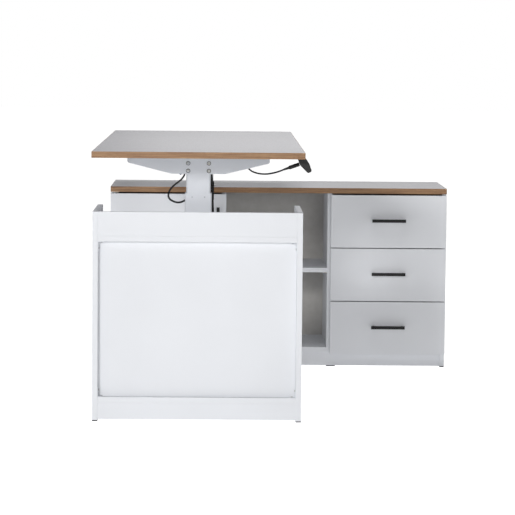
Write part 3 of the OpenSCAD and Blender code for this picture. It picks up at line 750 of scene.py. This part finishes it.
def connector_piece():
    """The two-part inline connector that joins the inlet cord to the mains cord."""
    bm = bmesh.new()
    middle = (341.5, 300)

    def section(z, width, depth, radius=2.2, dx=0.0):
        return [
            at(middle[0] + dx + x, middle[1] + y, z)
            for x, y in rounded_outline(width, depth, radius, 4)
        ]

    skin(
        bm,
        [
            section(680.0, 9.0, 7.6), section(679.2, 11.2, 8.6), section(676.0, 12.0, 9.0),
            section(670.0, 12.0, 9.0), section(669.4, 11.2, 8.3), section(668.4, 11.2, 8.3),
            section(667.8, 12.0, 9.0), section(665.2, 12.0, 9.0), section(664.8, 11.4, 8.5),
        ],
    )
    skin(
        bm,
        [
            section(664.3, 10.9, 8.1), section(664.0, 11.6, 8.7), section(658.0, 11.6, 8.7),
            section(657.5, 10.8, 8.0), section(656.4, 10.8, 8.0), section(655.9, 11.4, 8.6),
            section(653.0, 11.0, 8.4), section(650.6, 9.0, 7.4, 2.2, 0.6),
            section(650.0, 8.0, 7.0, 2.2, 0.8),
        ],
    )
    relief(bm, (340, 300, 680), (0, 0, 1), 3.9, 3.0, 9.0, 3)
    piece = built("inline_power_connector", bm, "black_plastic", "lift")
    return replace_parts(piece, "power_connector")


def mains_relief_piece():
    """The tapered relief where the mains cord leaves its connector."""
    bm = bmesh.new()
    relief(bm, (343, 300, 650), (0, 0, -1), 4.3, 3.25, sizes().relief_l / MM, 6)
    return built("mains_lead_relief", bm, "black_plastic", "lift")


def mains_plug_pieces():
    """The two-pin mains plug, its relief and its pins."""
    x, y0 = PLUG_END[0], PLUG_END[1]
    bm = bmesh.new()
    loft(
        bm,
        [
            (x, 74.8, 9.6, 9.0, 4.2, y0 - 14.0), (x, 75.2, 13.0, 10.2, 4.6, y0 - 15.5),
            (x, 76.4, 19.0, 12.4, 5.2, y0 - 20.0), (x, 77.6, 24.4, 15.0, 5.6, y0 - 27.0),
            (x, 78.0, 26.0, 16.0, 5.6, y0 - 35.0), (x, 78.0, 26.0, 16.0, 5.6, y0 - 39.0),
            (x, 78.0, 25.2, 15.2, 5.4, y0 - 39.6), (x, 78.0, 25.2, 15.2, 5.4, y0 - 41.0),
            (x, 78.0, 26.0, 16.0, 5.6, y0 - 41.6), (x, 78.0, 26.0, 16.0, 5.6, y0 - 49.6),
            (x, 78.0, 24.6, 14.6, 5.2, y0 - 51.0),
        ],
    )
    relief(bm, (x, y0 - 15.0, 74.6), (0, 1, 0), 4.4, 3.25, 20.0, 5)
    for dx in (-9.5, 9.5):
        m = frame_to(at(x + dx, y0 - 50.5, 78), (0, -1, 0))
        turned(bm, [(2.0, 0.0), (2.0, 9.8), (1.8, 10.2)], m, 16)
    body = built("mains_plug_body", bm, "black_plastic", "base")
    bm = bmesh.new()
    for dx in (-9.5, 9.5):
        m = frame_to(at(x + dx, y0 - 50.5, 78), (0, -1, 0))
        turned(
            bm,
            [(1.9, 9.0), (2.35, 10.4), (2.35, 17.0), (2.0, 18.2), (1.2, 18.9), (0.4, 19.2)],
            m,
            16,
        )
    pins = built("mains_plug_pins", bm, "nickel", "base")
    return body, pins


def coil_tie_piece():
    """A strap round the coil's turns."""
    bm = bmesh.new()
    angle = math.radians(20)
    out = Vector((math.cos(angle), math.sin(angle), 0))
    along = Vector((-out.y, out.x, 0))
    loop = [(26.9, 70.4), (27.6, 69.95), (47.4, 69.95), (48.7, 70.6), (48.9, 72.0),
            (48.9, 88.6), (48.2, 90.4), (46.4, 91.3), (43.0, 91.2), (40.0, 89.6),
            (34.5, 85.4), (30.0, 84.8), (27.6, 84.0), (26.7, 82.2)]
    middle = (sum(p[0] for p in loop) / len(loop), sum(p[1] for p in loop) / len(loop))
    rings = []
    section = ((-6, 0.0), (-5.6, 0.5), (5.6, 0.5), (6, 0.0), (5.6, -0.35), (-5.6, -0.35))
    for across, grow in section:
        ring = []
        for r, z in loop:
            dr, dz = r - middle[0], z - middle[1]
            n = math.hypot(dr, dz)
            r2, z2 = r + dr / n * grow, max(z + dz / n * grow, 69.9)
            ring.append(at(*COIL_CENTRE, z2) + (out * r2 + along * across) * MM)
        rings.append(ring)
    closed_skin(bm, rings)
    return built("coil_tie_strap", bm, "strap", "base")


def make_cords():
    s = sizes()
    plug = handset_plug_piece()
    handset = curve_cord("handset_lead", HANDSET_ROUTE, s.handset_cord_d, "lift")
    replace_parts(handset, "handset_cord")
    motor = curve_cord("motor_lead", MOTOR_ROUTE, s.motor_cord_d, "lift")
    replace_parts(motor, "motor_cord")
    connector = connector_piece()
    inlet = curve_cord("inlet_lead", INLET_ROUTE, s.inlet_cord_d, "lift", 2)
    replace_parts(inlet, "inlet_cord")
    route = list(LEAD_ROUTE) + coil_line() + list(TAIL_ROUTE)
    line = [at(*p) for p in smooth_line(route, 4)]
    lead = tube_mesh("mains_lead", line, s.mains_cord_d)
    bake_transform(lead)
    body, pins = mains_plug_pieces()
    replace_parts(body, "mains_cord", "mains_coil_and_plug")
    mains_relief_piece()
    coil_tie_piece()
    bm = bmesh.new()
    relief(bm, (356, 472, 744), (0, -1, 0), 3.6, 2.5, 14.0, 4)
    relief(bm, (262, 472, 744), (0, -1, 0), 3.9, 2.75, 14.0, 4)
    relief(bm, (330, 472, 744), (0, -1, 0), 4.2, 3.0, 20.0, 5)
    built("control_box_reliefs", bm, "black_plastic", "lift")


# ---- boards, steel and plastics from the frame ----

# rounding of the edges by slot, in millimetres
SOFT_EDGES = {
    "white_board": 0.7,
    "grey_white_top": 0.3,
    "oak_edge": 0.5,
    "white_hardboard": 0.3,
    "white_steel": 0.6,
    "zinc_steel": 0.3,
    "black_handle": 1.1,
    "black_plastic": 1.0,
    "white_plastic": 0.3,
}
# and of the nodes that have their own
NODE_EDGES = {
    "control_box": 2.5,
    "handset": 1.6,
    "gear_motors": 1.2,
    "button_up": 0.8,
    "button_down": 0.8,
    "floor_pads": 0.8,
}
WELD_WITHIN = 0.00001
# edges that turn by more degrees than this are rounded
ROUND_ABOVE = 32


def dress_frame():
    """Gives every node of the frame its finish and soft edges."""
    for part in frame["record"]["subparts"]:
        node = frame["nodes"][part["node"]]
        slot = part["material_slot"]
        material = "rubber" if part["node"] == "floor_pads" else slot
        node.data.materials.clear()
        node.data.materials.append(finish(material))
        if slot == "black_cord":
            continue
        # folded sheet is sharp and flat as it comes
        folded = part["node"] == "support_brackets"
        faces = node.data.polygons
        faces.foreach_set("use_smooth", [not folded] * len(faces))
        weld = node.modifiers.new("Joined corners", "WELD")
        weld.merge_threshold = WELD_WITHIN
        if folded:
            continue
        edge = node.modifiers.new("Soft edges", "BEVEL")
        edge.width = NODE_EDGES.get(part["node"], SOFT_EDGES[slot]) * MM
        edge.segments = 2
        edge.limit_method = "ANGLE"
        edge.angle_limit = math.radians(ROUND_ABOVE)
        edge.use_clamp_overlap = True
        flat = node.modifiers.new("Flat faces", "WEIGHTED_NORMAL")
        flat.keep_sharp = True
        flat.weight = 80


# ---- fittings ----

# places of the columns and boards, in millimetres from the plan's corner
COLUMN_X = 302
FRONT_Y = 264
REAR_Y = 1450
BODY_FACES = ((FRONT_Y, -1), (REAR_Y, 1))
# from a column's middle to its bracket's web and to its outer tube's face
WEB_OUT = 25.5
TUBE_OUT = 26
BOLT_Z = (713, 735)
BRACKET_UNDER_Z = 757
BRACKET_SCREWS_X = (-197, -100, 100, 197)
BRACKET_SCREW_Y = 32.75
GLIDE_SCREW_Z = 637
DECK_TOP_Z = 533
CABINET_TOP_Z = 601
MOTOR_Z = 732
# a foot plate's top in the housing and in the cabinet, and its bolts
PLATE_TOPS = ((FRONT_Y, 75), (REAR_Y, 70))
PLATE_BOLT_X = 48
PLATE_BOLT_Y = 75
HALF_HANDLE = 48
DRAWERS_X = 927.5


def bracket_bolts():
    """Button-head bolts with washers through the brackets into the columns."""
    bm, shadow_washers = bmesh.new(), bmesh.new()
    for y, way in BODY_FACES:
        for x in (COLUMN_X - 30, COLUMN_X + 30):
            for z in BOLT_Z:
                m = frame_to(at(x, y + way * WEB_OUT, z), (0, way, 0))
                turned(
                    shadow_washers, [(5.6, -0.2), (6.2, 0.0), (6.2, 0.6), (5.9, 0.8), (3.2, 0.8)], m
                )
                socket = hexagon(4.2)
                turned(
                    bm,
                    [(2.9, -4.6), (2.9, 0.2), (5.0, 0.8), (5.1, 1.2), (4.9, 2.2), (4.2, 3.0),
                     (3.4, 3.35), (socket, 3.4), (socket, 1.4), (0.6, 0.9)],
                    m,
                )
    piece = built("bracket_bolts_detailed", bm, "zinc_steel", "lift")
    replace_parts(piece, "frame_bolts")
    # a washer under each head, coloured black as painted shadow round the bolt head
    built("bracket_shadow_washers", shadow_washers, "black_handle", "lift")


def board_screws():
    """Pan-head screws with cross recesses that hold the brackets to the desktop."""
    bm = bmesh.new()
    for y, way in BODY_FACES:
        for x in BRACKET_SCREWS_X:
            for off in (-BRACKET_SCREW_Y, BRACKET_SCREW_Y):
                origin = at(COLUMN_X + x, y + off, BRACKET_UNDER_Z)
                pan_head(bm, origin, (0, 0, -1), 8.0, 2.4)
                m = frame_to(origin, (0, 0, 1))
                profile = [(1.9, -0.3), (1.9, 2.6)]
                for k in range(6):
                    z = 3.4 + k * 1.6
                    profile += [(1.45, z), (1.95, z + 0.5), (1.95, z + 0.7), (1.45, z + 1.2)]
                profile += [(0.5, 13.8)]
                turned(bm, profile, m, 12)
    piece = built("desktop_screws_detailed", bm, "zinc_steel", "lift")
    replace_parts(piece, "desktop_screws")


def column_trim():
    """Glide screws on the outer tubes, collars round them and foot bolts."""
    bm = bmesh.new()
    for y, way in BODY_FACES:
        for x in (COLUMN_X - 18, COLUMN_X + 18):
            m = frame_to(at(x, y + way * TUBE_OUT, GLIDE_SCREW_Z), (0, way, 0))
            slot = cross_slot(1.25, 0.36)
            turned(
                bm,
                [(1.9, -1.0), (2.1, 0.0), (2.0, 0.45), (1.5, 0.7), (slot, 0.75), (slot, 0.2),
                 (0.3, 0.1)],
                m,
            )
    built("glide_screws", bm, "zinc_steel", "base")
    bm = bmesh.new()
    for y, z in ((FRONT_Y, DECK_TOP_Z), (REAR_Y, CABINET_TOP_Z)):
        plate_frame(
            bm,
            Matrix.Translation(at(COLUMN_X, y, z)),
            (94, 68, 8),
            (79.6, 53.6, 5.6),
            ((0, 0), (0, 1.6), (0.6, 2.4), (1.6, 2.8)),
        )
    built("column_collars", bm, "white_plastic", "base")
    bm = bmesh.new()
    for y, z in PLATE_TOPS:
        for x in (-PLATE_BOLT_X, PLATE_BOLT_X):
            for off in (-PLATE_BOLT_Y, PLATE_BOLT_Y):
                m = frame_to(at(COLUMN_X + x, y + off, z), (0, 0, 1))
                turned(bm, [(8.2, 0.0), (8.5, 0.2), (8.5, 1.2), (8.2, 1.4), (4, 1.4)], m)
                head = hexagon(13)
                shoulder = hexagon(12.4)
                turned(
                    bm,
                    [(2.9, -4.8), (2.9, 1.2), (shoulder, 1.4), (head, 1.9), (head, 5.8),
                     (6.0, 6.6), (0.5, 6.7)],
                    m,
                )
    built("foot_plate_bolts", bm, "zinc_steel", "base")


def grommets():
    """Plastic rings in the deck board's cable hole and the back board's outlet."""
    bm = bmesh.new()
    rim = sizes().grommet_rim / MM
    for origin, direction, hole, deep in (
        ((362, 306, DECK_TOP_Z), (0, 0, 1), 32, 15.5),
        ((506, 422, 130), (0, 1, 0), 50, 15.5),
    ):
        m = frame_to(at(*origin), direction)
        r = hole / 2
        outer = [(r - 0.1, -deep), (r - 0.1, 0.0), (r + rim - 0.4, 0.0), (r + rim, 0.5),
                 (r + rim - 0.6, 1.6), (r + rim * 0.4, 2.0), (r - 0.6, 1.5), (r - 1.1, 0.4),
                 (r - 1.1, -deep)]
        rings = [[m @ (p * MM) for p in ring_points(a, h, 40)] for a, h in outer]
        closed_skin(bm, rings)
    built("cable_grommets", bm, "white_plastic", "base")


def housing_cleats():
    """Steel angle cleats with screws in the corners of the housing's front recess."""
    bm = bmesh.new()
    screws = bmesh.new()
    for x, into in ((18, 1), (586, -1)):
        for z, down in ((517, -1), (70, 1)):
            xs = sorted((x, x + into * 1.5))
            zs = sorted((z, z + down * 27))
            rounded_box(bm, (xs[0], 106.5, zs[0]), (xs[1], 120.5, zs[1]), 0.5)
            xs = sorted((x, x + into * 17))
            zs = sorted((z, z + down * 1.5))
            rounded_box(bm, (xs[0], 106.5, zs[0]), (xs[1], 120.5, zs[1]), 0.5)
            pan_head(screws, at(x + into * 1.5, 113.5, z + down * 20), (into, 0, 0), 6.6, 2.4)
            pan_head(screws, at(x + into * 11, 113.5, z + down * 1.5), (0, 0, down), 6.6, 2.2)
    built("recess_cleats", bm, "white_steel", "base")
    built("recess_cleat_screws", screws, "zinc_steel", "base")


def cabinet_fittings():
    """Shelf pins, and the screws that hold the cabinet's back board."""
    bm = bmesh.new()
    for x, into in ((385, 1), (724, -1)):
        for y in (1400, 1680):
            m = frame_to(at(x, y, 313.8), (into, 0, 0))
            turned(bm, [(2.4, -4.0), (2.4, 0.0), (4.2, 0.2), (4.2, 1.2), (2.5, 1.5),
                        (2.5, 8.2), (2.0, 8.8), (0.4, 9.0)], m, 20)
    built("shelf_pins", bm, "nickel", "base")
    bm = bmesh.new()
    spots = [(x, z) for x in (60, 260, 378, 560, 732, 900, 1060) for z in (57, 575)]
    spots += [(x, z) for x in (378, 732) for z in (200, 324, 450)]
    for x, z in spots:
        pan_head(bm, at(x, 1730, z), (0, 1, 0), 7.0, 1.8)
    built("back_board_screws", bm, "zinc_steel", "base")


def handle_screws():
    """The heads of the handles' screws on the insides of the door and drawers."""
    for k, name in enumerate(FACES):
        z = 45 + k * 178.5 + 175.5 - 84
        bm = bmesh.new()
        for x in (DRAWERS_X - HALF_HANDLE, DRAWERS_X + HALF_HANDLE):
            pan_head(bm, at(x, 1368, z), (0, 1, 0), 8.0, 2.2)
        built(f"drawer_{name}_handle_screws", bm, "zinc_steel", f"drawer_{name}")
    bm = bmesh.new()
    for z in (478.5 - HALF_HANDLE, 478.5 + HALF_HANDLE):
        pan_head(bm, at(358, 1356, z), (0, 1, 0), 8.0, 2.2)
    built("door_handle_screws", bm, "zinc_steel", "door")


def handset_arrows():
    """Raised arrow marks on the two buttons."""
    normal = Vector((0.9116, 0, 0.4111))
    down = Vector((0.4111, 0, -0.9116))
    for name, y, way in (("button_up", 100, -1), ("button_down", 130, 1)):
        bm = bmesh.new()
        origin = at(617.75, y, 740.25) + normal * 1.4 * MM
        outline = [(-2.6, -1.3), (0, 1.9), (2.6, -1.3), (1.5, -1.3), (0, 0.5), (-1.5, -1.3)]
        rings = []
        for height, grow in ((-0.2, 1.0), (0.22, 1.0), (0.3, 0.93)):
            rings.append(
                [
                    origin
                    + (Vector((0, 1, 0)) * a + down * way * b) * grow * MM
                    + normal * height * MM
                    for a, b in outline
                ]
            )
        skin(bm, rings)
        built(f"{name}_arrow", bm, "white_plastic", name)


def control_box_details():
    """Lid seam, mounting ears with screws, and cooling ribs of the control box."""
    bm = bmesh.new()
    x0, x1, y0, y1, z0 = 227, 377, 480, 600, 728
    plate_frame(
        bm,
        Matrix.Translation(at((x0 + x1) / 2, (y0 + y1) / 2, 735)),
        (x1 - x0 + 1.0, y1 - y0 + 1.0, 3.0),
        (x1 - x0 - 2, y1 - y0 - 2, 2.0),
        ((0, 0), (0, 1.6)),
    )
    for side, edge in ((-1, x0), (1, x1)):
        for y in (502, 578):
            a, b = sorted((edge - side * 2, edge + side * 15))
            rounded_box(bm, (a, y - 9, 756.6), (b, y + 9, 759.8), 1.2)
    for k in range(12):
        y = 500 + k * 7.2
        rounded_box(bm, (x0 + 32, y, z0 - 0.9), (x1 - 32, y + 2.6, z0 + 1), 0.5, 1)
    built("control_box_details", bm, "black_plastic", "lift")
    bm = bmesh.new()
    for side, edge in ((-1, x0), (1, x1)):
        for y in (502, 578):
            pan_head(bm, at(edge + side * 8.5, y, 756.6), (0, 0, -1), 8.0, 2.4)
    built("control_box_screws", bm, "zinc_steel", "lift")


def motor_details():
    """End caps, bands and screws of the two motors."""
    bm = bmesh.new()
    for y, way in ((FRONT_Y + WEB_OUT, 1), (REAR_Y - WEB_OUT, -1)):
        m = frame_to(at(COLUMN_X, y, MOTOR_Z), (0, way, 0))
        for start, end in ((6, 10), (78, 95.4)):
            turned(
                bm,
                [(21.0, start), (23.3, start + 0.4), (23.6, start + 1), (23.6, end - 1),
                 (23.2, end - 0.2), (20, end)],
                m,
                48,
            )
        turned(
            bm,
            [(20.5, 95.0), (20.5, 97.0), (19.6, 97.8), (9.0, 98.2), (8.4, 98.8), (8.2, 101.4),
             (7.4, 102.2), (3.0, 102.3), (2.6, 101.2), (0.5, 101.0)],
            m,
            36,
        )
    built("motor_end_caps", bm, "black_plastic", "lift")
    bm = bmesh.new()
    for y, way in ((FRONT_Y + WEB_OUT, 1), (REAR_Y - WEB_OUT, -1)):
        for dx in (-14, 14):
            pan_head(bm, at(COLUMN_X + dx, y + way * 97.8, MOTOR_Z), (0, way, 0), 6.0, 2.2)
    built("motor_screws", bm, "zinc_steel", "lift")


def cable_clip():
    """The small clip under the front bracket's edge that guides the motor cord."""
    bm = bmesh.new()
    rounded_box(bm, (245, 236.8, 702.2), (255, 243.2, 704.6), 0.9)
    rounded_box(bm, (247.4, 236.0, 700.6), (252.6, 244.0, 702.6), 0.9)
    built("bracket_cable_clip", bm, "zinc_steel", "lift")


# ---- camera and stage ----

LENS = 179.06
CAMERA_PLACE = (-0.190204, -8.042879, 1.106742)
# turned right, tipped down and rolled, in degrees
CAMERA_TURN = (0.81281, 4.96617, -0.49432)
ROOM_LIGHT = 0.1
FLOOR_LIGHT = 0.36
# name, place and aim in metres, watts, width and height in metres
LIGHTS = (
    ("key_softbox", (-2.1, -5.4, 1.95), (-0.1, -0.3, 0.5), 106, 0.7, 0.7),
    ("left_softbox", (-3.0, -4.2, 3.0), (-0.25, -0.7, 0.4), 12, 1.0, 1.0),
    ("front_softbox", (0.9, -5.8, 1.3), (0.2, 0.5, 0.35), 28, 0.9, 0.6),
    ("top_softbox", (-0.2, 0.0, 3.4), (-0.2, 0.0, 0.5), 40, 2.0, 2.0),
    ("rear_softbox", (0.5, 4.6, 2.4), (0.0, 0.4, 0.4), 24, 2.4, 1.6),
)


def make_camera():
    data = bpy.data.cameras.new("Camera")
    data.sensor_width = 36.0
    data.lens = LENS
    data.clip_start, data.clip_end = 0.1, 100.0
    camera = bpy.data.objects.new("Camera", data)
    bpy.context.scene.collection.objects.link(camera)
    yaw, pitch, roll = (math.radians(a) for a in CAMERA_TURN)
    forward = Vector(
        (math.sin(yaw) * math.cos(pitch), math.cos(yaw) * math.cos(pitch), -math.sin(pitch))
    )
    level = Vector((math.cos(yaw), -math.sin(yaw), 0))
    down = forward.cross(level)
    right = math.cos(roll) * level + math.sin(roll) * down
    up = math.sin(roll) * level - math.cos(roll) * down
    matrix = Matrix((right, up, -forward)).transposed().to_4x4()
    matrix.translation = Vector(CAMERA_PLACE)
    camera.matrix_world = matrix
    bpy.context.scene.camera = camera


def softbox(name, place, aim, power, width, height):
    """A white softbox at a place, turned towards its aim."""
    data = bpy.data.lights.new(name, "AREA")
    data.shape = "RECTANGLE"
    data.size, data.size_y = width, height
    data.energy = power
    lamp = bpy.data.objects.new(name, data)
    bpy.context.scene.collection.objects.link(lamp)
    lamp.matrix_world = frame_to(Vector(place), Vector(place) - Vector(aim))


def seen_by_eye(tree):
    """One for what the camera sees straight, nought for light on its way."""
    return add(tree, "ShaderNodeLightPath").outputs["Is Camera Ray"]


def make_stage():
    """White surroundings, a white floor and the softboxes."""
    scene = bpy.context.scene
    scene.view_settings.view_transform = "Standard"
    world = bpy.data.worlds.new("Studio")
    scene.world = world
    world.use_nodes = True
    tree = world.node_tree
    sky = tree.nodes["Background"]
    sky.inputs[0].default_value = linear("#FFFFFF")
    sky.inputs[1].default_value = ROOM_LIGHT
    white = add(tree, "ShaderNodeBackground", {0: linear("#FFFFFF"), 1: 1.0})
    both = add(
        tree,
        "ShaderNodeMixShader",
        {0: seen_by_eye(tree), 1: sky.outputs[0], 2: white.outputs[0]},
    )
    tree.links.new(both.outputs[0], tree.nodes["World Output"].inputs[0])
    bm = bmesh.new()
    bmesh.ops.create_grid(bm, x_segments=8, y_segments=8, size=30.0)
    mesh = bpy.data.meshes.new("studio_floor")
    bm.to_mesh(mesh)
    bm.free()
    floor = bpy.data.objects.new("studio_floor", mesh)
    scene.collection.objects.link(floor)
    # seamless white studio paper: dull, and bright enough to run into the background
    paper, tree, shader, place = new_material("white_studio_paper", Roughness=0.9)
    mottled(tree, shader, place, colours().floor, shade(colours().floor, 0.98), 1.5)
    shader.inputs["Emission Color"].default_value = linear("#FFFFFF")
    # the paper is burnt out to the eye, and gives its set amount of light to the desk
    seen = {"Factor": seen_by_eye(tree), "A": FLOOR_LIGHT, "B": 1.0}
    glow = add(tree, "ShaderNodeMix", seen)
    tree.links.new(glow.outputs["Result"], shader.inputs["Emission Strength"])
    mesh.materials.append(paper)
    for light in LIGHTS:
        softbox(*light)


# ---- operators ----


def operator(name, label, doc, steps):
    """An operator that runs the given steps."""

    def execute(self, context):
        for step in steps:
            step()
        return {"FINISHED"}

    return type(
        f"DESK_OT_{name}",
        (bpy.types.Operator,),
        {"bl_idname": f"desk.{name}", "bl_label": label, "__doc__": doc, "execute": execute},
    )


OPERATORS = (
    operator("camera", "Camera", "Places the camera", (make_camera,)),
    operator("cords", "Cords", "Makes the four cords, their plugs and the coil", (make_cords,)),
    operator("stage", "Stage", "Makes the floor and the soft lights", (make_stage,)),
    operator("finishes", "Finishes", "Gives every board and part its finish", (dress_frame,)),
    operator(
        "bracket_fixings",
        "Bracket fixings",
        "Makes the bolts and screws of the desktop's frame",
        (bracket_bolts, board_screws, cable_clip),
    ),
    operator(
        "columns",
        "Column trim",
        "Makes collars, glide screws and foot bolts",
        (column_trim,),
    ),
    operator(
        "housing",
        "Housing fittings",
        "Makes the cleats and grommets of the leg housing",
        (housing_cleats, grommets),
    ),
    operator(
        "cabinet",
        "Cabinet fittings",
        "Makes shelf pins, back screws and handle screws",
        (cabinet_fittings, handle_screws),
    ),
    operator(
        "drive",
        "Drive details",
        "Makes the details of handset, control box and motors",
        (handset_arrows, control_box_details, motor_details),
    ),
)


class DESK_PT_panel(bpy.types.Panel):
    """Lists the desk's pieces, sizes and colours"""

    bl_label = "Corner desk"
    bl_idname = "DESK_PT_panel"
    bl_space_type = "VIEW_3D"
    bl_region_type = "UI"
    bl_category = "Corner desk"

    def draw(self, context):
        for made in OPERATORS:
            self.layout.operator(made.bl_idname)
        for group in (context.scene.desk_sizes, context.scene.desk_colours):
            for name in group.bl_rna.properties.keys():
                if name not in ("rna_type", "name"):
                    self.layout.prop(group, name)


CLASSES = (DeskSizes, DeskColours, *OPERATORS, DESK_PT_panel)


def register():
    for made in CLASSES:
        bpy.utils.register_class(made)
    bpy.types.Scene.desk_sizes = bpy.props.PointerProperty(type=DeskSizes)
    bpy.types.Scene.desk_colours = bpy.props.PointerProperty(type=DeskColours)


def unregister():
    del bpy.types.Scene.desk_colours
    del bpy.types.Scene.desk_sizes
    for made in reversed(CLASSES):
        bpy.utils.unregister_class(made)


def main():
    register()
    for made in OPERATORS:
        group, name = made.bl_idname.split(".")
        getattr(getattr(bpy.ops, group), name)()


if __name__ == "__main__":
    main()
